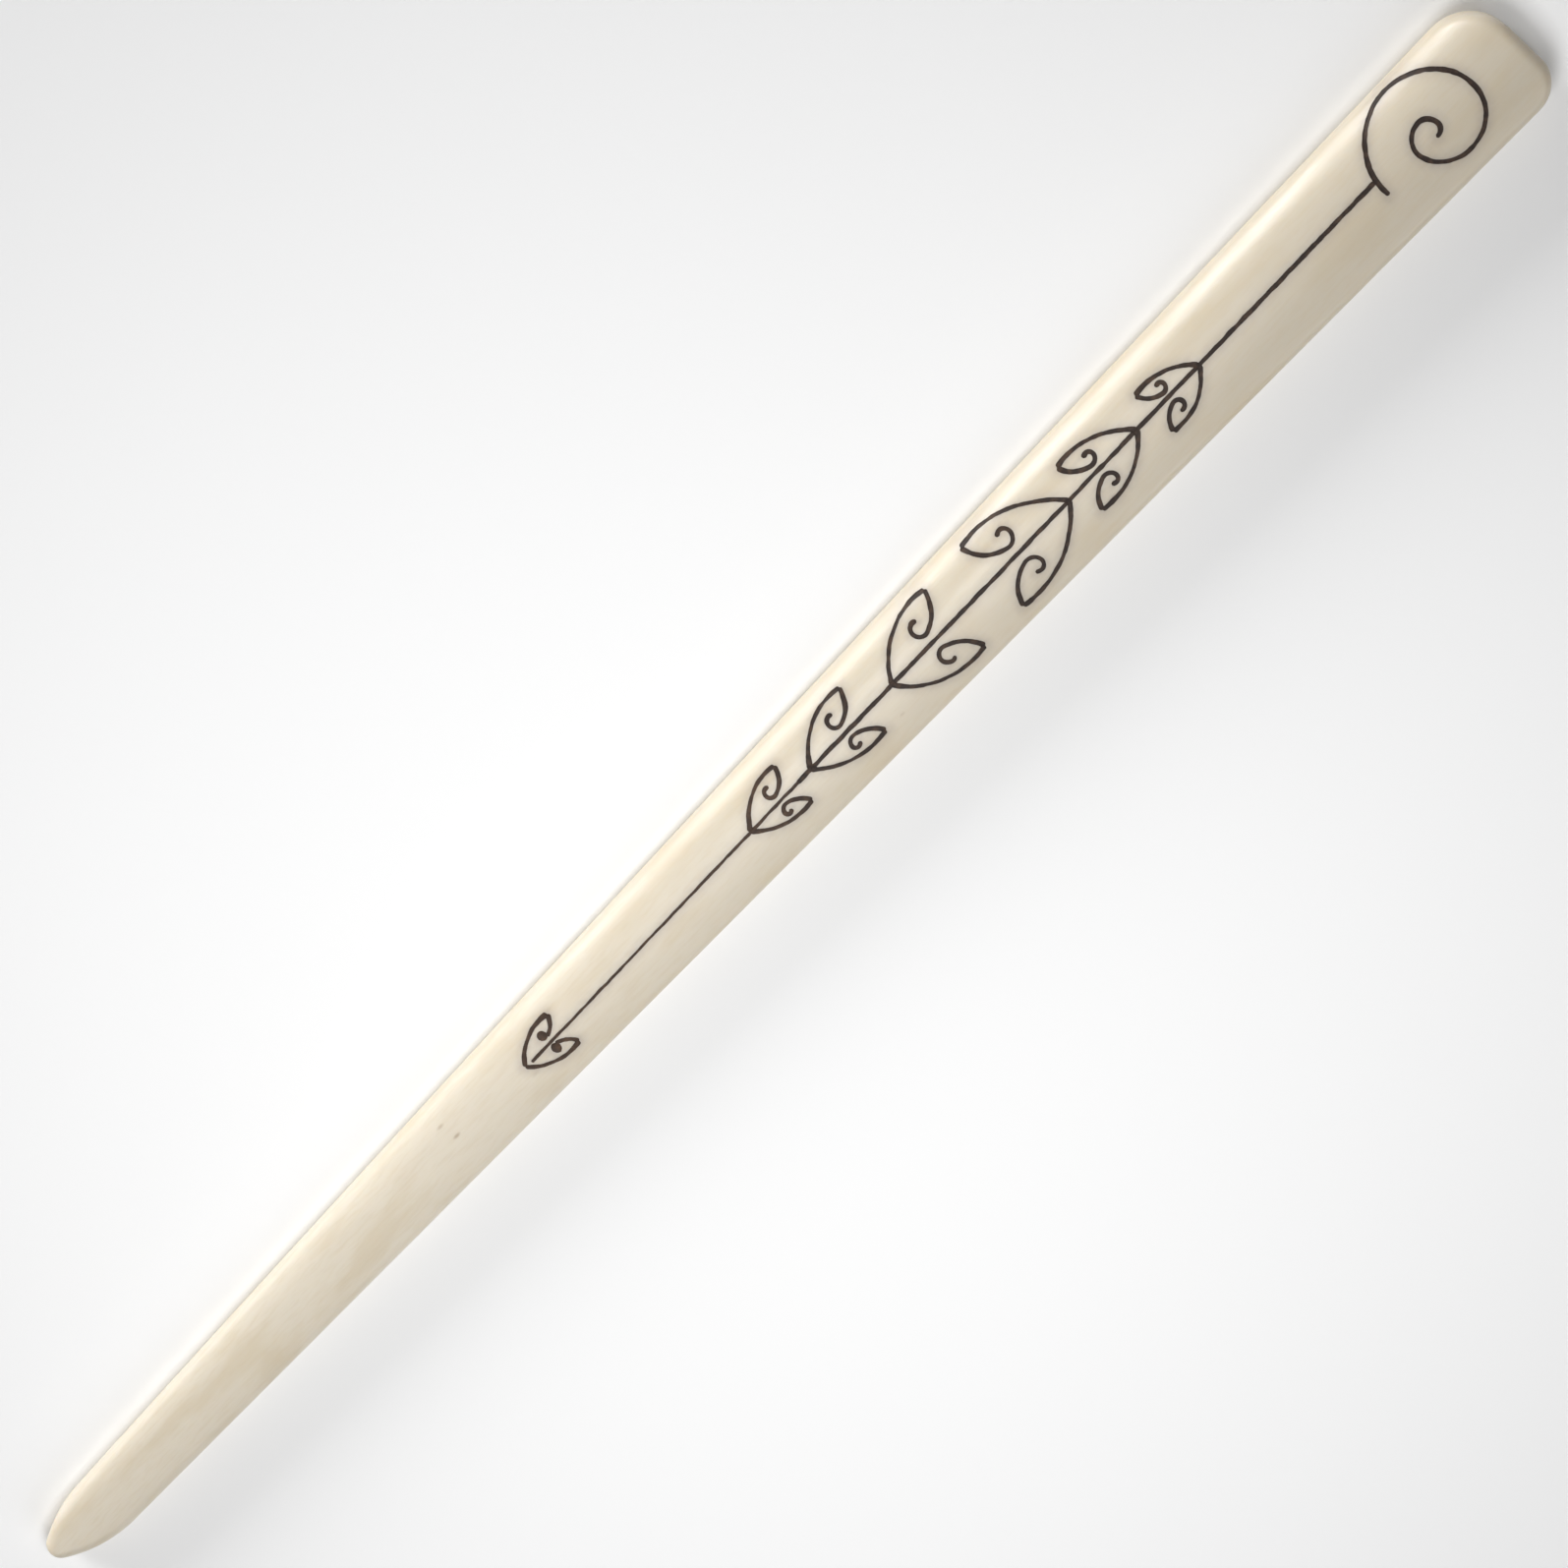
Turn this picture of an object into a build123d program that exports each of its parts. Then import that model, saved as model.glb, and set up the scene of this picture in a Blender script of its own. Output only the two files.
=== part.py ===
from build123d import *
import os

# Bone folder: a tapered blade of bone with an engraved, ink-filled fern vine on its crowned face.
# Millimetres. It lies on its flat back at z = 0, +X runs from the tip to the head, +Z through the face.

# Blade, in plan
length = 178.7
upper_head_y = 5.05
lower_head_y = -5.1
upper_mid = (19.35, 4.82)  # the upper edge is one long shallow arc through here
upper_shoulder = (-83.15, 3.22)  # where the long edges turn in to the tip
lower_shoulder = (-81.65, -2.36)
tip_point = (-90.45, 1.15)  # where the tip's sides would meet, a little above the centre line
nose_r = 1.3  # rounds that point off
upper_corner_r = 4.0
lower_corner_r = 2.8

# Blade, in section: a gently crowned face that rolls off over a broad shoulder on its upper side
head_thickness = 4.3
tip_thickness = 3.0
crown_r = 16.0
head_shoulder = (2.1, 4.3)  # where the shoulder leaves the crown, and its radius, at the head
tip_shoulder = (1.75, 2.9)
shoulder_turn = 70.0
front_edge_r = 1.0
back_edge_r = 0.8

# Engraving
groove_depth = 0.3
stem_y = 0.735
stem_start_x = -24.65
stem_step_x = 8.55  # cut fine up to here, then deeper and broader to the head
stem_end_x = 74.35
fine_line = 0.26
stem_line = 0.36
frond_line = 0.38
spiral_line = 0.4

# Head spiral: a short straight tail at the stem's end, then tangent arcs wound clockwise from point
# to point, in to the eye
spiral_tail = ((stem_end_x, -0.8), (stem_end_x, -0.3))
spiral_points = [
    (77.25, 4.22),
    (82.4, 4.1),
    (84.55, 0.27),
    (80.85, -2.94),
    (78.07, -0.63),
    (79.6, 1.47),
    (80.71, 0.35),
    (79.85, -0.32),
]

# Fronds, numbered from the head: where the pair springs from the stem, its reach along the stem
# (minus is towards the tip), and how far the upper and lower frond tips stand off the stem
frond_pairs = [
    (55.14, -5.15, 1.93, 2.24),
    (48.17, -6.50, 2.43, 2.50),
    (40.49, -8.80, 3.42, 3.36),
    (19.85, 7.40, 3.29, 3.32),
    (10.15, 6.55, 2.84, 2.26),
    (2.90, 5.40, 2.32, 1.86),
    (-25.35, 4.82, 1.74, 1.80),
]
smallest_curl = 5.0  # a frond shorter than this ends in a solid dot, too small for an open curl
dot_r = 0.45

half = length / 2
section_half = 7.0
os.makedirs("parts", exist_ok=True)


def crown_section(x, thickness, shoulder_start, shoulder_r):
    """The blade's cross-section at x: flat back, straight sides, arched front and broad upper shoulder."""

    def on_crown(y):
        return (y, thickness - crown_r + (crown_r**2 - y**2) ** 0.5)

    with BuildSketch(Plane.YZ.offset(x)) as section:
        with BuildLine():
            side = Line((-section_half, 0), on_crown(-section_half))
            crown = ThreePointArc(side @ 1, (0, thickness), on_crown(shoulder_start))
            shoulder = JernArc(start=crown @ 1, tangent=crown % 1, radius=shoulder_r, arc_size=-shoulder_turn)
            drop = Line(shoulder @ 1, ((shoulder @ 1).X, 0))
            Line(drop @ 1, side @ 0)
        make_face()
    return section.sketch


def line_stroke(path, width):
    """A pen stroke of constant width along a path, with round ends."""
    with BuildSketch() as stroke:
        trace(path, line_width=width)
        with Locations(path @ 0, path @ 1):
            Circle(width / 2)
    return stroke.sketch


def frond_stroke(vertex_x, reach, spread, side):
    """Plan of one frond: a long outer arc to a sharp tip, then a return that curls up on itself."""

    def at(along, out):
        return (vertex_x + along * reach, stem_y + side * out * spread)

    with BuildLine() as back:
        ThreePointArc(at(0, 0), at(0.44, 0.86), at(1, 1))
    with BuildLine() as curl:
        inner = ThreePointArc(at(1, 1), at(0.894, 0.55), at(0.69, 0.265))
        if abs(reach) > smallest_curl:
            bowl = TangentArc(inner @ 1, at(0.568, 0.52), tangent=inner % 1)
            crest = TangentArc(bowl @ 1, at(0.644, 0.68), tangent=bowl % 1)
            TangentArc(crest @ 1, at(0.69, 0.61), tangent=crest % 1)
    with BuildSketch() as frond:
        add(line_stroke(back.line, frond_line))
        add(line_stroke(curl.line, frond_line))
        if abs(reach) <= smallest_curl:
            with Locations(at(0.64, 0.44)):
                Circle(dot_r)
        with Locations((vertex_x, stem_y - side * length / 2)):
            Rectangle(length, length, mode=Mode.SUBTRACT)
        add(stem_plan.sketch, mode=Mode.SUBTRACT)
    return frond.sketch


# The blade before engraving
with BuildPart() as blank:
    with BuildSketch():
        with BuildLine():
            upper = ThreePointArc((half, upper_head_y), upper_mid, upper_shoulder)
            TangentArc(upper @ 1, tip_point, tangent=upper % 1)
            lower = Line((half, lower_head_y), lower_shoulder)
            TangentArc(lower @ 1, tip_point, tangent=lower % 1)
            Line(upper @ 0, lower @ 0)
        make_face()
        fillet(vertices().sort_by(Axis.X)[0], radius=nose_r)
        fillet(vertices().sort_by(Axis.Y)[-1], radius=upper_corner_r)
        fillet(vertices().sort_by(Axis.Y)[0], radius=lower_corner_r)
    extrude(amount=head_thickness)
    tip_section = crown_section(-half, tip_thickness, *tip_shoulder)
    head_section = crown_section(half, head_thickness, *head_shoulder)
    loft([tip_section, head_section], mode=Mode.INTERSECT)
    front_edges = faces().filter_by(lambda face: face.normal_at().Z > 0.3).edges()
    fillet([edge for edge in front_edges if front_edges.count(edge) == 1], radius=front_edge_r)
    fillet(faces().sort_by(Axis.Z)[0].edges(), radius=back_edge_r)

# Everything below this lies deeper than the grooves
core = Pos(0, 0, -groove_depth) * blank.part

with BuildLine() as spiral_path:
    turn = Line(*spiral_tail)
    for point in spiral_points:
        turn = TangentArc(turn @ 1, point, tangent=turn % 1)
spiral_plan = line_stroke(spiral_path.line, spiral_line)

with BuildSketch() as stem_plan:
    with Locations((stem_start_x, stem_y)):
        Rectangle(stem_end_x - stem_start_x, fine_line, align=(Align.MIN, Align.CENTER))
    with Locations((stem_step_x, stem_y)):
        Rectangle(stem_end_x - stem_step_x, stem_line, align=(Align.MIN, Align.CENTER))
    add(spiral_plan, mode=Mode.SUBTRACT)

ink_plans = {"head_spiral_ink": spiral_plan, "stem_ink": stem_plan.sketch}
for number, (vertex_x, reach, upper_spread, lower_spread) in enumerate(frond_pairs, start=1):
    ink_plans[f"frond_{number}_upper_ink"] = frond_stroke(vertex_x, reach, upper_spread, 1)
    ink_plans[f"frond_{number}_lower_ink"] = frond_stroke(vertex_x, reach, lower_spread, -1)

# The ink fills each groove up to the face of the blade
inks = []
for name, plan in ink_plans.items():
    with BuildPart() as ink:
        add(plan)
        extrude(amount=head_thickness)
        add(blank.part, mode=Mode.INTERSECT)
        add(core, mode=Mode.SUBTRACT)
    ink.part.label = name
    export_step(ink.part, f"parts/{name}.step")
    inks.append(ink.part)

with BuildPart() as bone_body:
    add(blank.part)
    add(inks, mode=Mode.SUBTRACT)
bone_body.part.label = "bone_body"
export_step(bone_body.part, "parts/bone_body.step")
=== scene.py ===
import math

import bpy
import numpy as np
from bpy.props import FloatProperty, FloatVectorProperty, IntProperty, PointerProperty
from bpy.types import Operator, Panel, PropertyGroup
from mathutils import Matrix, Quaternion, Vector


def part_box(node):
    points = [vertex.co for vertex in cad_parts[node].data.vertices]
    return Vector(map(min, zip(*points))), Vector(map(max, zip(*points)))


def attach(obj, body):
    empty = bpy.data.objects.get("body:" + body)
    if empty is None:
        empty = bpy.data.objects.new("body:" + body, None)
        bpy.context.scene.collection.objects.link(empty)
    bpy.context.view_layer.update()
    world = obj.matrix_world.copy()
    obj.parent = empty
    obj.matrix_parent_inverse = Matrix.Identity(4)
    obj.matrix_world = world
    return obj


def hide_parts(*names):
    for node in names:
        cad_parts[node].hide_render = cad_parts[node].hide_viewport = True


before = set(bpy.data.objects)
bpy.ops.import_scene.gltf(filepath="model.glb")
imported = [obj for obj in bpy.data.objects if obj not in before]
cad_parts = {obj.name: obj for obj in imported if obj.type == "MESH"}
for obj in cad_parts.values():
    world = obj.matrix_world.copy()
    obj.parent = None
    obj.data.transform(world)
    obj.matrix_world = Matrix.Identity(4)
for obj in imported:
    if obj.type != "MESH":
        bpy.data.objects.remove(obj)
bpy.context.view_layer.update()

bl_info = {
    "name": "Engraved bone folder",
    "version": (1, 0, 0),
    "blender": (4, 5, 0),
    "location": "View3D > Sidebar > Bone Folder",
    "description": "Builds a bone folder with an engraved, ink-filled fern vine, and its studio",
    "category": "Add Mesh",
}

MM = 0.001
ROOT = "root"


def linear(hex_colour):
    """An sRGB hex colour as linear red, green and blue."""
    values = [int(hex_colour[i : i + 2], 16) / 255 for i in (1, 3, 5)]
    return tuple(v / 12.92 if v <= 0.04045 else ((v + 0.055) / 1.055) ** 2.4 for v in values)


# The blade's outline and section, in metres, about the frame's own origin
HEAD_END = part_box("bone_body")[1].x
SECTION_REACH = 89.35 * MM  # the tip's and the head's sections stand this far out
HEAD_THICKNESS = 4.3 * MM
TIP_THICKNESS = 3.0 * MM
UPPER_HEAD_Y = 5.05 * MM
LOWER_HEAD_Y = -5.1 * MM
UPPER_MID = complex(19.35, 4.82) * MM
UPPER_SHOULDER = complex(-83.15, 3.22) * MM
LOWER_SHOULDER = complex(-81.65, -2.36) * MM
TIP_POINT = complex(-90.45, 1.15) * MM  # where the tip's sides would meet
NOSE_RADIUS = 1.3 * MM
HEAD_CORNERS = {1: 4.0 * MM, -1: 2.8 * MM}  # upper and lower
CROWN_RADIUS = 16.0 * MM
TIP_ROLL = (1.75 * MM, 2.9 * MM)  # where the upper shoulder leaves the crown, and its radius
HEAD_ROLL = (2.1 * MM, 4.3 * MM)
BACK_BELOW = 1.2 * MM  # all of the back's vertices lie lower than this

# The engraved vine
STEM_Y = 0.735 * MM
STEM_START = -24.65 * MM
STEM_STEP = 8.55 * MM  # the stem is fine up to here, then broad
STEM_END = 74.35 * MM
STEM_DROOP = 0.12 * MM  # how far below its line the stem starts
STEM_LAP = 0.3 * MM  # how far the fine half runs on into the broad one
SPIRAL_TAIL = (complex(74.35, -0.8) * MM, complex(74.35, -0.3) * MM)  # short and straight
SPIRAL_POINTS = [complex(*p) * MM for p in (
    (77.25, 4.22), (82.4, 4.1), (84.55, 0.27), (80.85, -2.94), (78.07, -0.63), (79.6, 1.47), (80.71, 0.35),
    (79.85, -0.32))]
# Millimetres: where each pair springs from the stem, its reach along it, its upper and lower spread
FROND_PAIRS = [
    (55.14, -5.15, 1.93, 2.24),
    (48.17, -6.50, 2.43, 2.50),
    (40.49, -8.80, 3.42, 3.36),
    (19.85, 7.40, 3.29, 3.32),
    (10.15, 6.55, 2.84, 2.26),
    (2.90, 5.40, 2.32, 1.86),
    (-25.35, 4.82, 1.74, 1.80),
]
SMALLEST_CURL = 5.0  # millimetres: a frond that reaches no further ends in a dot
PATH_STEP = 0.1 * MM
CUT_LIFT = 0.7  # a cut's section rises above the face by this share of half its width
INK_LIFT = -0.14  # the ink's section stops below the face by this share of half its width
INK_FIT = 1.04  # the ink is this much wider and deeper than its groove, and so meets the walls


class BladeSettings(PropertyGroup):
    front_edge: FloatProperty(name="Front edge", description="Rounding of the face's rim",
                              default=1.0 * MM, unit="LENGTH", precision=5)
    back_edge: FloatProperty(name="Back edge", description="Rounding of the back's rim", default=0.8 * MM,
                             unit="LENGTH", precision=5)
    unevenness: FloatProperty(name="Unevenness", description="Depth of the scraped facets",
                              default=0.03 * MM, unit="LENGTH", precision=6)
    stain_width: FloatProperty(name="Stain width", description="Reach of the ink stain beside a groove",
                               default=1.0 * MM, unit="LENGTH", precision=5)
    # pale and light are one bone, lit and in painted shade: the head's darker colour is painted shade for
    # light that falls off towards the head, not denser bone at the tip
    pale: FloatVectorProperty(name="Pale bone", description="Dense bone of the tip half", size=3,
                              subtype="COLOR", default=linear("#D8CFBE"))
    light: FloatVectorProperty(name="Light bone", description="Bone of the head half", size=3,
                               subtype="COLOR", default=linear("#CFC5B2"))
    warm: FloatVectorProperty(name="Warm bone", description="Bone in the growth bands", size=3,
                              subtype="COLOR", default=linear("#CABB9F"))
    pore: FloatVectorProperty(name="Pore", description="Blood vessel pores", size=3,
                              subtype="COLOR", default=linear("#846543"))
    stain: FloatVectorProperty(name="Stain", description="Ink soaked into the bone beside a groove", size=3,
                               subtype="COLOR", default=linear("#A3978F"))


class InkSettings(PropertyGroup):
    stem_width: FloatProperty(name="Stem width", description="Width of the stem's broad half",
                              default=0.36 * MM, unit="LENGTH", precision=5)
    fine_width: FloatProperty(name="Fine width", description="Width of the stem's fine half",
                              default=0.26 * MM, unit="LENGTH", precision=5)
    frond_width: FloatProperty(name="Frond width", description="Width of a frond's line",
                               default=0.38 * MM, unit="LENGTH", precision=5)
    spiral_width: FloatProperty(name="Spiral width", description="Width of the head spiral's line",
                                default=0.4 * MM, unit="LENGTH", precision=5)
    dot_width: FloatProperty(name="Dot width", description="Width of the smallest pair's dots",
                             default=0.9 * MM, unit="LENGTH", precision=5)
    groove_ratio: FloatProperty(name="Groove depth", description="Depth over half the width", default=1.3)
    waver: FloatProperty(name="Waver", description="Share by which a hand-cut width varies", default=0.2)
    wander: FloatProperty(name="Wander", description="How far the graver strays from its line",
                          default=0.06 * MM, unit="LENGTH", precision=5)
    seed: IntProperty(name="Seed", description="Seed of the hand-cut variation", default=7)
    dark: FloatVectorProperty(name="Ink", description="Thick ink", size=3, subtype="COLOR",
                              default=linear("#2A1E18"))
    thin: FloatVectorProperty(name="Thin ink", description="Ink where it has worn thin", size=3,
                              subtype="COLOR", default=linear("#5A4433"))


class StudioSettings(PropertyGroup):
    azimuth: FloatProperty(name="Azimuth", description="Camera's bearing about the blade",
                           default=math.radians(41.92), unit="ROTATION")
    elevation: FloatProperty(name="Elevation", description="Camera's height above the floor",
                             default=math.radians(70.0), unit="ROTATION")
    roll: FloatProperty(name="Roll", description="Camera's turn about its line of sight",
                        default=math.radians(180.0), unit="ROTATION")
    distance: FloatProperty(name="Distance", description="From the camera to its target",
                            default=0.30333, unit="LENGTH")
    target: FloatVectorProperty(name="Target", description="Where the camera looks, on the floor", size=3,
                                default=(6.78 * MM, 0.61 * MM, 0.0), subtype="XYZ_LENGTH")
    lens: FloatProperty(name="Lens", description="Focal length in millimetres", default=85.0)
    floor: FloatVectorProperty(name="Floor", description="White backdrop paper", size=3, subtype="COLOR",
                               default=linear("#F7F7F7"))
    overhead: FloatProperty(name="Overhead", description="Watts of the overhead softbox", default=0.22)
    side: FloatProperty(name="Side", description="Watts of the low side softbox", default=0.38)
    counter: FloatProperty(name="Counter", description="Watts of the softbox opposite it", default=0.15)
    fill: FloatProperty(name="Fill", description="Strength of the even fill light", default=0.11)


# Outline --------------------------------------------------------------------------------------------

def half_turn_of(start, tangent, end):
    """Half the angle through which the arc turns that leaves start along tangent and reaches end."""
    return math.remainder(np.angle(end - start) - np.angle(tangent), math.tau)


def circle_of(start, tangent, end):
    """Centre and radius of the arc that leaves start along tangent and reaches end."""
    radius = abs(end - start) / (2 * math.sin(half_turn_of(start, tangent, end)))
    return start + radius * 1j * tangent / abs(tangent), abs(radius)


def arc(start, tangent, end, step=PATH_STEP):
    """Points along the arc that leaves start along tangent and reaches end, and its last direction."""
    half_turn = half_turn_of(start, tangent, end)
    if abs(half_turn) < 1e-6:
        return np.array([start, end]), (end - start) / abs(end - start)
    centre, radius = circle_of(start, tangent, end)
    count = max(3, int(abs(2 * half_turn * radius) / step))
    turns = np.exp(1j * 2 * half_turn * np.linspace(0, 1, count))
    return centre + (start - centre) * turns, tangent / abs(tangent) * turns[-1]


def arc_through(start, middle, end, step=PATH_STEP):
    """Points along the arc through three places, and its last direction."""
    inscribed = np.angle((end - middle) / (middle - start))
    return arc(start, (end - start) * np.exp(-1j * inscribed), end, step)


def blade_edges():
    """The outline's upper and lower edges, from the nose to the head's end."""
    upper_head, lower_head = complex(HEAD_END, UPPER_HEAD_Y), complex(HEAD_END, LOWER_HEAD_Y)
    upper_long, upper_way = arc_through(upper_head, UPPER_MID, UPPER_SHOULDER, 1.0 * MM)
    lower_long = np.linspace(lower_head, LOWER_SHOULDER, 160)
    lower_way = lower_long[-1] - lower_long[0]
    upper_centre, upper_radius = circle_of(UPPER_SHOULDER, upper_way, TIP_POINT)
    lower_centre, lower_radius = circle_of(LOWER_SHOULDER, lower_way, TIP_POINT)
    # the nose is the circle that touches both of the tip's sides from within
    gap = lower_centre - upper_centre
    to_upper, to_lower = upper_radius - NOSE_RADIUS, lower_radius - NOSE_RADIUS
    along = (to_upper**2 - to_lower**2 + abs(gap) ** 2) / (2 * abs(gap))
    nose = upper_centre + gap / abs(gap) * complex(along, math.sqrt(to_upper**2 - along**2))
    edges = []
    for side, long_edge, way, centre, radius in ((1, upper_long, upper_way, upper_centre, upper_radius),
                                                 (-1, lower_long, lower_way, lower_centre, lower_radius)):
        corner = long_edge[0]
        touch = centre + (nose - centre) * radius / (radius - NOSE_RADIUS)
        tip_edge, into_nose = arc(long_edge[-1], way, touch)
        nose_edge, _ = arc(touch, into_nose, nose - NOSE_RADIUS)
        out_along, in_along = side * 1j, (long_edge[1] - corner) / abs(long_edge[1] - corner)
        reach = HEAD_CORNERS[side] * math.tan(abs(np.angle(in_along / out_along)) / 2)
        round_corner, _ = arc(corner - out_along * reach, out_along, corner + in_along * reach)
        kept = long_edge[np.abs(long_edge - corner) > reach]
        edges.append(np.concatenate([round_corner, kept, tip_edge[1:], nose_edge[1:]])[::-1])
    return edges


UPPER_EDGE, LOWER_EDGE = blade_edges()
OUTLINE = np.concatenate([UPPER_EDGE, LOWER_EDGE[::-1]])


def inset(places):
    """How far each place in plan lies inside the outline, and the direction of the nearest edge."""
    starts, spans = OUTLINE, np.roll(OUTLINE, -1) - OUTLINE
    starts, spans = starts[np.abs(spans) > 1e-9], spans[np.abs(spans) > 1e-9]
    flat = places.ravel()
    to_edge = np.empty(flat.shape, complex)
    for first in range(0, flat.size, 4000):
        gap = flat[first : first + 4000, None] - starts
        share = np.clip((gap * spans.conj()).real / np.abs(spans) ** 2, 0, 1)
        gap -= share * spans
        nearest = np.abs(gap).argmin(axis=1)
        to_edge[first : first + 4000] = -gap[np.arange(len(nearest)), nearest]
    depth = np.abs(to_edge)
    return depth.reshape(places.shape), (to_edge / np.maximum(depth, 1e-9)).reshape(places.shape)


def rounded(depth, slope, radius):
    """How far a rounded rim falls below a face that slopes down to it, at a depth inside the outline."""
    lean = np.arctan(np.maximum(slope, 0))
    start = radius * (1 - np.sin(lean))
    rim = np.sqrt(radius**2 - np.clip(radius - depth, 0, radius) ** 2)
    fall = radius * np.cos(lean) - rim - np.tan(lean) * (start - depth)
    return np.where(depth < start, fall, 0)


def scraped(x, y):
    """Shallow long facets left by the scraper, between 0 and 1."""
    waves = (
        np.sin(x / (7.3 * MM) + 1.1 * np.sin(y / (2.1 * MM)))
        + 0.8 * np.sin(x / (17.0 * MM) - y / (1.7 * MM) + 0.6)
        + 0.6 * np.sin(x / (3.9 * MM) + y / (1.2 * MM) + 2.2)
    )
    return 0.5 + waves / 4.8


def face_height(places, settings):
    """Height of the blade's front face at each place in plan."""
    x, y = places.real, places.imag
    share = (x + SECTION_REACH) / (2 * SECTION_REACH)
    thickness = TIP_THICKNESS + share * (HEAD_THICKNESS - TIP_THICKNESS)
    roll_start = TIP_ROLL[0] + share * (HEAD_ROLL[0] - TIP_ROLL[0])
    roll_radius = TIP_ROLL[1] + share * (HEAD_ROLL[1] - TIP_ROLL[1])
    on_crown = np.minimum(y, roll_start)
    height = thickness - CROWN_RADIUS + np.sqrt(CROWN_RADIUS**2 - on_crown**2)
    lean = on_crown / CROWN_RADIUS
    sine = np.clip(lean + np.maximum(y - roll_start, 0) / roll_radius, -0.97, 0.97)
    height -= roll_radius * (np.sqrt(1 - lean**2) - np.sqrt(1 - sine**2))
    depth, edge_way = inset(places)
    height -= rounded(depth, sine / np.sqrt(1 - sine**2) * edge_way.imag, settings.front_edge)
    return height - settings.unevenness * scraped(x, y)


# Meshes ---------------------------------------------------------------------------------------------

def mesh_object(name, vertices, faces, material):
    mesh = bpy.data.meshes.new(name)
    mesh.from_pydata([tuple(v) for v in vertices], [], faces)
    mesh.materials.append(material)
    mesh.shade_smooth()
    mesh.update()
    piece = bpy.data.objects.new(name, mesh)
    bpy.context.scene.collection.objects.link(piece)
    return piece


def baked(piece, name):
    """Replaces a piece by the plain mesh that its modifiers make of it."""
    depsgraph = bpy.context.evaluated_depsgraph_get()
    mesh = bpy.data.meshes.new_from_object(piece.evaluated_get(depsgraph), depsgraph=depsgraph)
    mesh.name = name
    bpy.data.objects.remove(piece)
    result = bpy.data.objects.new(name, mesh)
    bpy.context.scene.collection.objects.link(result)
    return result


def combined(piece, tool, operation, name):
    """The solid union or difference of two closed meshes."""
    boolean = piece.modifiers.new(operation, "BOOLEAN")
    boolean.operation = operation
    boolean.solver = "MANIFOLD"
    boolean.object = tool
    result = baked(piece, name)
    bpy.data.objects.remove(tool)
    if not result.data.polygons:
        raise RuntimeError(f"{name}: the {operation.lower()} left nothing")
    return result


def blade_mesh(settings, material):
    """A closed blade: the same grid in plan for the face and the back, and a wall between them."""
    # the rows stand closer together towards the tip's point and round the head's corners
    tip_length, step, columns = 10 * MM, 0.5 * MM, 54
    tip = UPPER_EDGE[0].real + tip_length * (1 - np.cos(np.linspace(0.035, math.pi / 2, 46)))
    head = HEAD_END - HEAD_CORNERS[1] * (1 - np.sin(np.linspace(0, math.pi / 2, 36)))
    shaft = np.arange(tip[-1] + step, head[0], step)
    stations = np.concatenate([tip, shaft, head])
    high = np.interp(stations, UPPER_EDGE.real, UPPER_EDGE.imag)
    low = np.interp(stations, LOWER_EDGE.real, LOWER_EDGE.imag)
    spread = 0.5 + 0.5 * np.sin(np.linspace(-math.pi / 2, math.pi / 2, columns + 1))
    plan = stations[:, None] + 1j * (low[:, None] + (high - low)[:, None] * spread)
    top = face_height(plan, settings)
    bottom = rounded(inset(plan)[0], 0, settings.back_edge)
    rows = len(stations)
    grid = np.arange(rows * (columns + 1)).reshape(rows, columns + 1)
    vertices = [np.stack([plan.real, plan.imag, top], -1).reshape(-1, 3),
                np.stack([plan.real, plan.imag, bottom], -1).reshape(-1, 3)]
    under = grid + grid.size
    faces = []
    for i in range(rows - 1):
        for j in range(columns):
            faces.append((grid[i, j], grid[i + 1, j], grid[i + 1, j + 1], grid[i, j + 1]))
            faces.append((under[i, j], under[i, j + 1], under[i + 1, j + 1], under[i + 1, j]))
    # the wall runs once round the rim of both grids
    rim = (
        [(i, 0) for i in range(rows)]
        + [(rows - 1, j) for j in range(1, columns + 1)]
        + [(i, columns) for i in range(rows - 2, -1, -1)]
        + [(0, j) for j in range(columns - 1, 0, -1)]
    )
    for (i, j), (k, m) in zip(rim, rim[1:] + rim[:1]):
        faces.append((under[i, j], under[k, m], grid[k, m], grid[i, j]))
    faces = [tuple(int(vertex) for vertex in face) for face in faces]
    return mesh_object("blade_blank", np.concatenate(vertices), faces, material)


# Strokes --------------------------------------------------------------------------------------------

def pressed(points, width, *shares):
    """A stroke: its points, and its width at each, which swells and thins by shares evenly spread on it."""
    run = np.concatenate([[0], np.cumsum(np.abs(np.diff(points)))])
    return points, width * np.interp(run / run[-1], np.linspace(0, 1, len(shares)), shares)


def frond_lines(vertex_x, reach, spread, side, ink):
    """A frond's strokes: the long outer arc, and the return that curls up on itself."""

    def at(along, out):
        return complex((vertex_x + along * reach) * MM, STEM_Y + side * out * spread * MM)

    back, _ = arc_through(at(0, 0), at(0.44, 0.86), at(1, 1))
    curl, heading = arc_through(at(1, 1), at(0.894, 0.55), at(0.69, 0.265))
    lines = [pressed(back, ink.frond_width, 1.25, 0.9, 0.85, 0.95, 1.2)]
    if abs(reach) > SMALLEST_CURL:
        for corner in (at(0.568, 0.52), at(0.644, 0.68), at(0.69, 0.61)):
            piece, heading = arc(curl[-1], heading, corner, PATH_STEP / 2)
            curl = np.concatenate([curl, piece[1:]])
    else:
        middle, half_dot = at(0.64, 0.44), ink.dot_width / 2
        lines.append(pressed(np.linspace(middle - half_dot, middle + half_dot, 9), ink.dot_width, 1, 1))
    lines.append(pressed(curl, ink.frond_width, 1.2, 1.0, 0.95, 1.1))
    return lines


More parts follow.
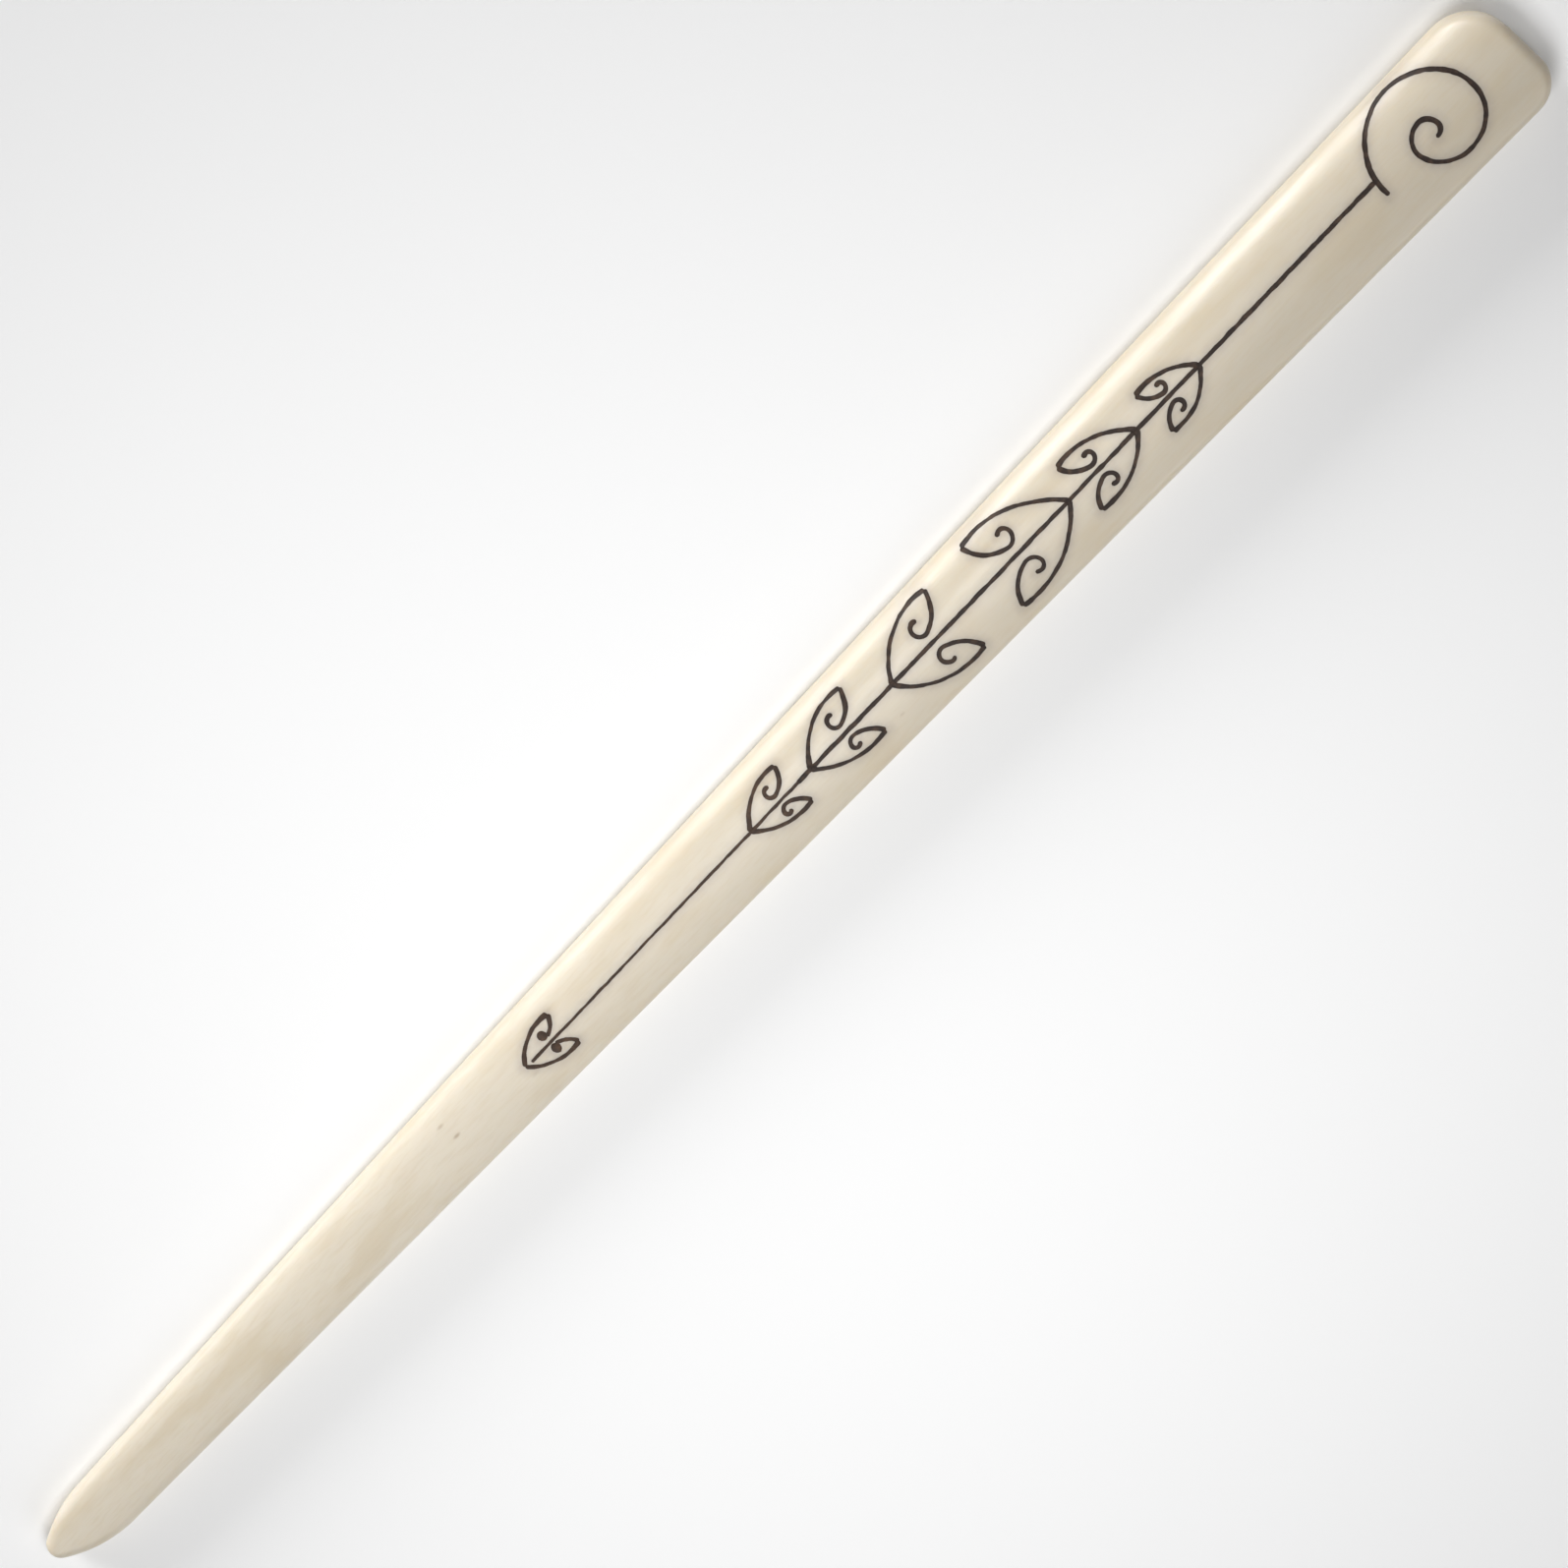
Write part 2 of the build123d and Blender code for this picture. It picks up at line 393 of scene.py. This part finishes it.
def vine_lines(ink):
    """Every ink node's strokes, as points in plan and widths."""
    lines = {}
    spiral, heading = np.array(SPIRAL_TAIL), SPIRAL_TAIL[1] - SPIRAL_TAIL[0]
    for point in SPIRAL_POINTS:
        piece, heading = arc(spiral[-1], heading, point)
        spiral = np.concatenate([spiral, piece[1:]])
    lines["head_spiral_ink"] = [pressed(spiral, ink.spiral_width, 1.15, 0.95, 1.0, 1.05, 0.95, 1.0, 1.1)]
    fine = np.linspace(complex(STEM_START, STEM_Y - STEM_DROOP), complex(STEM_STEP + STEM_LAP, STEM_Y), 330)
    broad = np.linspace(complex(STEM_STEP, STEM_Y), complex(STEM_END, STEM_Y), 650)
    lines["stem_ink"] = [pressed(broad, ink.stem_width, 1.1, 1.0, 0.95, 1.0, 1.05),
                         pressed(fine, ink.fine_width, 1.1, 0.9, 1.0, 1.1)]
    for number, (vertex_x, reach, upper, lower) in enumerate(FROND_PAIRS, start=1):
        lines[f"frond_{number}_upper_ink"] = frond_lines(vertex_x, reach, upper, 1, ink)
        lines[f"frond_{number}_lower_ink"] = frond_lines(vertex_x, reach, lower, -1, ink)
    return lines


def node(tree, kind, inputs=None, **settings):
    """Adds a node, sets its properties and fills its inputs with values or links."""
    made = tree.nodes.new(kind)
    for name, value in settings.items():
        setattr(made, name, value)
    for key, value in (inputs or {}).items():
        if isinstance(value, bpy.types.NodeSocket):
            tree.links.new(value, made.inputs[key])
        else:
            made.inputs[key].default_value = value
    return made


def stroke_tree():
    """Geometry nodes that sweep a graver's cut, or the ink that fills it, along each spline."""
    tree = bpy.data.node_groups.new("Graver stroke", "GeometryNodeTree")
    sockets = tree.interface
    sockets.new_socket("Geometry", in_out="INPUT", socket_type="NodeSocketGeometry")
    for label, default in (("Depth ratio", 1.3), ("Lift ratio", 0.6), ("Waver", 0.2), ("Wander", 0.06 * MM),
                           ("Step", 0.07 * MM)):
        sockets.new_socket(label, in_out="INPUT", socket_type="NodeSocketFloat").default_value = default
    sockets.new_socket("Seed", in_out="INPUT", socket_type="NodeSocketInt").default_value = 7
    sockets.new_socket("Material", in_out="INPUT", socket_type="NodeSocketMaterial")
    sockets.new_socket("Geometry", in_out="OUTPUT", socket_type="NodeSocketGeometry")
    start = node(tree, "NodeGroupInput").outputs
    even = node(tree, "GeometryNodeResampleCurve", {"Curve": start["Geometry"], "Length": start["Step"]},
                mode="LENGTH")

    def sums(operation, first, second=0.0, clamp=False):
        inputs = {0: first, 1: second}
        return node(tree, "ShaderNodeMath", inputs, operation=operation, use_clamp=clamp).outputs[0]

    # the line strays a little sideways, as a hand does
    place = node(tree, "GeometryNodeInputPosition").outputs[0]
    stray = node(tree, "ShaderNodeTexNoise", {"Vector": place, "W": start["Seed"], "Scale": 1 / (1.1 * MM),
                                              "Detail": 1.0}, noise_dimensions="4D").outputs["Color"]
    centred = node(tree, "ShaderNodeVectorMath", {0: stray, 1: (0.5, 0.5, 0.5)}, operation="SUBTRACT")
    flat = node(tree, "ShaderNodeVectorMath", {0: centred.outputs[0], 1: (2.0, 2.0, 0.0)},
                operation="MULTIPLY")
    offset = node(tree, "ShaderNodeVectorMath", {0: flat.outputs[0], "Scale": start["Wander"]},
                  operation="SCALE")
    moved = node(tree, "GeometryNodeSetPosition", {"Geometry": even.outputs[0],
                                                   "Offset": offset.outputs[0]})
    level = node(tree, "GeometryNodeSetCurveNormal", {"Curve": moved.outputs[0]}, mode="Z_UP")

    # half the line's width, wavering as a hand's pressure does, and rounded off at both ends
    width = node(tree, "GeometryNodeInputRadius").outputs[0]
    hand = node(tree, "ShaderNodeTexNoise", {"Vector": place, "W": start["Seed"], "Scale": 1 / (0.9 * MM),
                                             "Detail": 2.0}, noise_dimensions="4D").outputs[0]
    swing = sums("MULTIPLY", sums("SUBTRACT", hand, 0.5), sums("MULTIPLY", start["Waver"], 4.0))
    half_width = sums("MULTIPLY", width, sums("ADD", swing, 1.0))
    run = node(tree, "GeometryNodeSplineParameter").outputs["Length"]
    whole = node(tree, "GeometryNodeSplineLength").outputs["Length"]
    from_end = sums("DIVIDE", sums("MINIMUM", run, sums("SUBTRACT", whole, run)), width, clamp=True)
    nib = sums("SQRT", sums("MULTIPLY", from_end, sums("SUBTRACT", 2.0, from_end)))
    scale = sums("MULTIPLY", half_width, sums("MAXIMUM", nib, 0.12))

    # the section's rounded bottom lies below the face, and its top above or just under it
    circle = node(tree, "GeometryNodeCurvePrimitiveCircle", {"Resolution": 14, "Radius": 1.0})
    spot = node(tree, "ShaderNodeSeparateXYZ", {0: place}).outputs
    below = sums("GREATER_THAN", spot["Y"], 0.0)
    ratio = sums("ADD", sums("MULTIPLY", below, start["Depth ratio"]),
                 sums("MULTIPLY", sums("SUBTRACT", 1.0, below), start["Lift ratio"]))
    section_y = sums("MULTIPLY", spot["Y"], ratio)
    shaped = node(tree, "ShaderNodeCombineXYZ", {"X": spot["X"], "Y": section_y}).outputs[0]
    section = node(tree, "GeometryNodeSetPosition", {"Geometry": circle.outputs["Curve"],
                                                     "Position": shaped})
    swept = node(tree, "GeometryNodeCurveToMesh", {
        "Curve": level.outputs[0],
        "Profile Curve": section.outputs[0],
        "Scale": scale,
        "Fill Caps": True,
    })
    real = node(tree, "GeometryNodeRealizeInstances", {"Geometry": swept.outputs[0]})
    coated = node(tree, "GeometryNodeSetMaterial", {"Geometry": real.outputs[0],
                                                    "Material": start["Material"]})
    node(tree, "NodeGroupOutput", {"Geometry": coated.outputs[0]})
    return tree


def stroke_solid(name, line, tree, values, blade):
    """One stroke as a closed mesh, laid along the blade's face."""
    points, widths = line
    heights = face_height(points, blade)
    ahead = np.gradient(points)
    half_gap = 0.05 * MM
    aside = half_gap * 1j * ahead / np.abs(ahead)
    rise = face_height(points + aside, blade) - face_height(points - aside, blade)
    leans = np.arctan(rise / (2 * half_gap))
    curve = bpy.data.curves.new(name, "CURVE")
    curve.dimensions = "3D"
    spline = curve.splines.new("POLY")
    spline.points.add(len(points) - 1)
    for target, place, height, lean, width in zip(spline.points, points, heights, leans, widths):
        target.co = (place.real, place.imag, height, 1)
        target.tilt = lean
        target.radius = width / 2
    piece = bpy.data.objects.new(name, curve)
    bpy.context.scene.collection.objects.link(piece)
    sweep = piece.modifiers.new("Stroke", "NODES")
    sweep.node_group = tree
    sockets = {item.name: item.identifier for item in tree.interface.items_tree if item.in_out == "INPUT"}
    for label, value in values.items():
        sweep[sockets[label]] = value
    return baked(piece, name)


def vine_solid(name, lines, tree, values, blade):
    """A node's strokes joined into one closed mesh."""
    solid = None
    for count, line in enumerate(lines):
        stroke = stroke_solid(f"{name}_{count}", line, tree, values, blade)
        solid = stroke if solid is None else combined(solid, stroke, "UNION", name)
    solid.name = solid.data.name = name
    return solid


# Materials ------------------------------------------------------------------------------------------

def new_material(name):
    material = bpy.data.materials.new(name)
    material.use_nodes = True
    material.node_tree.nodes.clear()
    return material, material.node_tree


def polished_bone(blade):
    """Cut, scraped and burnished cattle bone: warm ivory, faintly banded lengthwise, with fine dark
    pores drawn out along the bone and light that soaks in at the edges."""
    material, tree = new_material("Polished cattle bone")
    place = node(tree, "ShaderNodeTexCoord").outputs["Object"]

    def noise(size, stretch, detail=3.0):
        scaled = node(tree, "ShaderNodeMapping", {"Vector": place, "Scale": (1 / stretch, 1.0, 1.0)})
        return node(tree, "ShaderNodeTexNoise", {"Vector": scaled.outputs[0], "Scale": 1 / size,
                                                 "Detail": detail}).outputs[0]

    def ramp(value, low, high, to_low=0.0, to_high=1.0):
        return node(tree, "ShaderNodeMapRange", {"Value": value, "From Min": low, "From Max": high,
                                                 "To Min": to_low, "To Max": to_high},
                    interpolation_type="SMOOTHSTEP").outputs[0]

    def mix(share, first, second):
        mixer = node(tree, "ShaderNodeMix", {"Factor": share}, data_type="RGBA")
        for socket, value in ((mixer.inputs[6], first), (mixer.inputs[7], second)):
            if isinstance(value, bpy.types.NodeSocket):
                tree.links.new(value, socket)
            else:
                socket.default_value = (*value, 1.0)
        return mixer.outputs[2]

    def times(first, second):
        return node(tree, "ShaderNodeMath", {0: first, 1: second}, operation="MULTIPLY").outputs[0]

    # paler towards the tip and darker towards the head, a painted shade standing in for light that falls
    # off towards the head; with soft warm clouds drawn out along the bone
    along = node(tree, "ShaderNodeSeparateXYZ", {0: place}).outputs["X"]
    colour = mix(ramp(along, -50 * MM, 30 * MM), blade.pale, blade.light)
    colour = mix(ramp(noise(2.4 * MM, 3.5), 0.45, 0.7, 0.0, 0.45), colour, blade.warm)
    colour = mix(ramp(noise(0.25 * MM, 8.0, 2.0), 0.4, 0.75, 0.0, 0.3), colour, blade.warm)
    # a few pores a few tenths of a millimetre across, drawn out along the bone
    drawn = node(tree, "ShaderNodeMapping", {"Vector": place, "Scale": (0.4, 1.0, 1.0)})
    cells = node(tree, "ShaderNodeTexVoronoi", {"Vector": drawn.outputs[0], "Scale": 1 / (1.9 * MM)})
    chosen = node(tree, "ShaderNodeSeparateColor", {0: cells.outputs["Color"]}).outputs[0]
    pores = ramp(cells.outputs["Distance"], 0.02, 0.12, 1.0, 0.0)
    pored = times(pores, ramp(chosen, 0.55, 0.95))
    colour = mix(times(pored, 0.6), colour, blade.pore)
    # ink that has soaked into the bone beside the grooves
    stained = node(tree, "ShaderNodeAttribute", attribute_name="stain").outputs["Fac"]
    soaked = times(stained, ramp(noise(0.5 * MM, 1.5), 0.2, 0.8, 0.3, 0.6))
    colour = mix(soaked, colour, blade.stain)
    relief = node(tree, "ShaderNodeMath", {0: noise(0.12 * MM, 10.0, 2.0), 1: pored}, operation="SUBTRACT")
    bump = node(tree, "ShaderNodeBump", {"Height": relief.outputs[0], "Strength": 0.35,
                                         "Distance": 0.012 * MM})
    shader = node(tree, "ShaderNodeBsdfPrincipled", {
        "Base Color": colour,
        "Roughness": ramp(noise(1.2 * MM, 6.0), 0.3, 0.7, 0.36, 0.46),
        "Normal": bump.outputs[0],
        "IOR": 1.54,
        "Subsurface Weight": 0.3,
        "Subsurface Radius": (1.0, 0.72, 0.45),
        "Subsurface Scale": 0.9 * MM,
    })
    node(tree, "ShaderNodeOutputMaterial", {"Surface": shader.outputs[0]})
    return material


def rubbed_ink(ink):
    """Oil ink rubbed into a graver's cut and wiped: near black where it lies thick, brown where thin."""
    material, tree = new_material("Rubbed engraving ink")
    place = node(tree, "ShaderNodeTexCoord").outputs["Object"]
    along = node(tree, "ShaderNodeSeparateXYZ", {0: place}).outputs["X"]

    def noise(size, detail):
        return node(tree, "ShaderNodeTexNoise", {"Vector": place, "Scale": 1 / size,
                                                 "Detail": detail}).outputs[0]

    def ramp(value, low, high, to_high):
        return node(tree, "ShaderNodeMapRange", {"Value": value, "From Min": low, "From Max": high,
                                                 "To Min": 0.0, "To Max": to_high}).outputs[0]

    worn = ramp(noise(0.6 * MM, 3.0), 0.45, 0.75, 0.6)
    fine_half = ramp(along, STEM_STEP, STEM_STEP - 2 * MM, 0.25)
    share = node(tree, "ShaderNodeMath", {0: worn, 1: fine_half}, operation="ADD", use_clamp=True)
    mixer = node(tree, "ShaderNodeMix", {"Factor": share.outputs[0]}, data_type="RGBA")
    mixer.inputs[6].default_value = (*ink.dark, 1.0)
    mixer.inputs[7].default_value = (*ink.thin, 1.0)
    bump = node(tree, "ShaderNodeBump", {"Height": noise(0.08 * MM, 2.0), "Strength": 0.4,
                                         "Distance": 0.01 * MM})
    shader = node(tree, "ShaderNodeBsdfPrincipled", {
        "Base Color": mixer.outputs[2],
        "Roughness": 0.6,
        "Normal": bump.outputs[0],
        "Specular IOR Level": 0.3,
    })
    node(tree, "ShaderNodeOutputMaterial", {"Surface": shader.outputs[0]})
    return material


def backdrop_paper(studio):
    """Smooth white backdrop paper, with a tooth too fine to see but enough to kill any gloss."""
    material, tree = new_material("Backdrop paper")
    place = node(tree, "ShaderNodeTexCoord").outputs["Object"]
    tooth = node(tree, "ShaderNodeTexNoise", {"Vector": place, "Scale": 1 / (0.4 * MM), "Detail": 2.0})
    bump = node(tree, "ShaderNodeBump", {"Height": tooth.outputs[0], "Strength": 0.1,
                                         "Distance": 0.02 * MM})
    shader = node(tree, "ShaderNodeBsdfPrincipled", {
        "Base Color": (*studio.floor, 1.0),
        "Roughness": 0.9,
        "Normal": bump.outputs[0],
        "Specular IOR Level": 0.1,
    })
    node(tree, "ShaderNodeOutputMaterial", {"Surface": shader.outputs[0]})
    return material


# Operators ------------------------------------------------------------------------------------------

def stain_attribute(piece, lines, blade):
    """Stores how strongly ink has soaked into the bone at each vertex, from 1 at a groove to 0."""
    count = len(piece.data.vertices)
    flat = np.empty(count * 3)
    piece.data.vertices.foreach_get("co", flat)
    places = flat[0::3] + 1j * flat[1::3]
    nearest = np.full(count, 1.0)
    for strokes in lines.values():
        for points, widths in strokes:
            beyond = np.maximum(points.real.min() - places.real, places.real - points.real.max())
            near = np.flatnonzero(beyond < blade.stain_width * 2)
            for first in range(0, near.size, 4000):
                chosen = near[first : first + 4000]
                gap = (np.abs(places[chosen, None] - points) - widths / 2).min(axis=1)
                nearest[chosen] = np.minimum(nearest[chosen], gap)
    stain = np.clip(1 - nearest / blade.stain_width, 0, 1) ** 2
    stain[flat[2::3] < BACK_BELOW] = 0
    layer = piece.data.attributes.new("stain", "FLOAT", "POINT")
    layer.data.foreach_set("value", stain)


class BONEFOLDER_OT_blade(Operator):
    """Make the bone blade with its engraved grooves"""

    bl_idname = "bone_folder.blade"
    bl_label = "Bone blade"

    def execute(self, context):
        blade, ink = context.scene.bone_blade, context.scene.bone_ink
        material = polished_bone(blade)
        tree = stroke_tree()
        lines = vine_lines(ink)
        cut = {"Depth ratio": ink.groove_ratio, "Lift ratio": CUT_LIFT, "Waver": ink.waver,
               "Wander": ink.wander, "Seed": ink.seed, "Material": material}
        cutter = None
        for name, strokes in lines.items():
            solid = vine_solid(f"{name}_cut", strokes, tree, cut, blade)
            cutter = solid if cutter is None else combined(cutter, solid, "UNION", "vine_cut")
        piece = combined(blade_mesh(blade, material), cutter, "DIFFERENCE", "bone_blade")
        stain_attribute(piece, lines, blade)
        piece.data.shade_smooth()
        piece.data.set_sharp_from_angle(angle=math.radians(32))
        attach(piece, ROOT)
        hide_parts("bone_body")
        return {"FINISHED"}


def make_inks(context, names):
    """Fills the named nodes' grooves with ink, a little below the bone's face."""
    blade, ink = context.scene.bone_blade, context.scene.bone_ink
    material = bpy.data.materials.get("Rubbed engraving ink") or rubbed_ink(ink)
    tree = bpy.data.node_groups.get("Graver stroke") or stroke_tree()
    fill = {"Depth ratio": ink.groove_ratio * INK_FIT, "Lift ratio": INK_LIFT, "Waver": ink.waver,
            "Wander": ink.wander, "Seed": ink.seed, "Material": material}
    lines = vine_lines(ink)
    for name in names:
        strokes = [(points, widths * INK_FIT) for points, widths in lines[name]]
        piece = vine_solid(name.replace("_ink", "_fill"), strokes, tree, fill, blade)
        piece.data.shade_smooth()
        piece.data.set_sharp_from_angle(angle=math.radians(50))
        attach(piece, ROOT)
        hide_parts(name)


class BONEFOLDER_OT_spiral_ink(Operator):
    """Fill the head spiral's groove with ink"""

    bl_idname = "bone_folder.spiral_ink"
    bl_label = "Head spiral ink"

    def execute(self, context):
        make_inks(context, ["head_spiral_ink"])
        return {"FINISHED"}


class BONEFOLDER_OT_stem_ink(Operator):
    """Fill the stem's groove with ink"""

    bl_idname = "bone_folder.stem_ink"
    bl_label = "Stem ink"

    def execute(self, context):
        make_inks(context, ["stem_ink"])
        return {"FINISHED"}


class BONEFOLDER_OT_frond_inks(Operator):
    """Fill the grooves of the seven pairs of fronds with ink"""

    bl_idname = "bone_folder.frond_inks"
    bl_label = "Frond inks"

    def execute(self, context):
        numbers = range(1, len(FROND_PAIRS) + 1)
        make_inks(context, [f"frond_{n}_{side}_ink" for n in numbers for side in ("upper", "lower")])
        return {"FINISHED"}


class BONEFOLDER_OT_stage(Operator):
    """Lay the floor, place the soft lights and set up the camera"""

    bl_idname = "bone_folder.stage"
    bl_label = "Stage"

    def execute(self, context):
        scene, studio = context.scene, context.scene.bone_studio
        scene.view_settings.view_transform = "Standard"
        scene.view_settings.look = "None"
        wide = 0.7
        corners = [(-wide, -wide, 0), (wide, -wide, 0), (wide, wide, 0), (-wide, wide, 0)]
        floor = mesh_object("floor", corners, [(0, 1, 2, 3)], backdrop_paper(studio))
        # each softbox: its place, where it points, its width and height, its beam in degrees, its power
        softbox("overhead", (-0.015, -0.01, 0.18), (-0.015, -0.01, 0.0), 0.09, 0.09, 180, studio.overhead)
        softbox("side", (-0.06, 0.5, 0.115), (-0.01, -0.12, 0.0), 0.50, 0.20, 40, studio.side)
        softbox("counter", (0.0, -0.4, 0.3), (0.0, 0.05, 0.0), 0.50, 0.30, 60, studio.counter)
        world = bpy.data.worlds.new("Even fill")
        world.use_nodes = True
        world.node_tree.nodes["Background"].inputs["Color"].default_value = (1, 1, 1, 1)
        world.node_tree.nodes["Background"].inputs["Strength"].default_value = studio.fill
        scene.world = world
        lens = bpy.data.cameras.new("camera")
        lens.lens = studio.lens
        lens.sensor_width = 36.0
        lens.clip_start = 0.01
        camera = bpy.data.objects.new("camera", lens)
        target = Vector(studio.target)
        level = math.cos(studio.elevation)
        back = Vector((level * math.cos(studio.azimuth), level * math.sin(studio.azimuth),
                       math.sin(studio.elevation)))
        camera.location = target + back * studio.distance
        rolled_over = Quaternion((0, 0, 1), studio.roll)
        camera.rotation_euler = (back.to_track_quat("Z", "Y") @ rolled_over).to_euler()
        scene.collection.objects.link(camera)
        scene.camera = camera
        return {"FINISHED"}


def softbox(name, place, aim, width, height, beam, power):
    """A rectangular soft light, its beam held in by a grid."""
    light = bpy.data.lights.new(f"{name}_softbox", "AREA")
    light.shape = "RECTANGLE"
    light.size = width
    light.size_y = height
    light.energy = power
    light.spread = math.radians(beam)
    lamp = bpy.data.objects.new(light.name, light)
    lamp.location = place
    lamp.visible_camera = False
    lamp.rotation_euler = (Vector(place) - Vector(aim)).to_track_quat("Z", "Y").to_euler()
    bpy.context.scene.collection.objects.link(lamp)


class BONEFOLDER_PT_panel(Panel):
    bl_idname = "BONEFOLDER_PT_panel"
    bl_label = "Bone Folder"
    bl_space_type = "VIEW_3D"
    bl_region_type = "UI"
    bl_category = "Bone Folder"

    def draw(self, context):
        for operator in OPERATORS:
            self.layout.operator(operator.bl_idname)
        for group in (context.scene.bone_blade, context.scene.bone_ink, context.scene.bone_studio):
            box = self.layout.box()
            for name in group.__annotations__:
                box.prop(group, name)


OPERATORS = (BONEFOLDER_OT_stage, BONEFOLDER_OT_blade, BONEFOLDER_OT_spiral_ink, BONEFOLDER_OT_stem_ink,
             BONEFOLDER_OT_frond_inks)
CLASSES = (BladeSettings, InkSettings, StudioSettings, *OPERATORS, BONEFOLDER_PT_panel)


def register():
    for cls in CLASSES:
        bpy.utils.register_class(cls)
    bpy.types.Scene.bone_blade = PointerProperty(type=BladeSettings)
    bpy.types.Scene.bone_ink = PointerProperty(type=InkSettings)
    bpy.types.Scene.bone_studio = PointerProperty(type=StudioSettings)


def unregister():
    for name in ("bone_blade", "bone_ink", "bone_studio"):
        delattr(bpy.types.Scene, name)
    for cls in reversed(CLASSES):
        bpy.utils.unregister_class(cls)


def main():
    register()
    bpy.ops.bone_folder.stage()
    bpy.ops.bone_folder.blade()
    bpy.ops.bone_folder.spiral_ink()
    bpy.ops.bone_folder.stem_ink()
    bpy.ops.bone_folder.frond_inks()


if __name__ == "__main__":
    main()
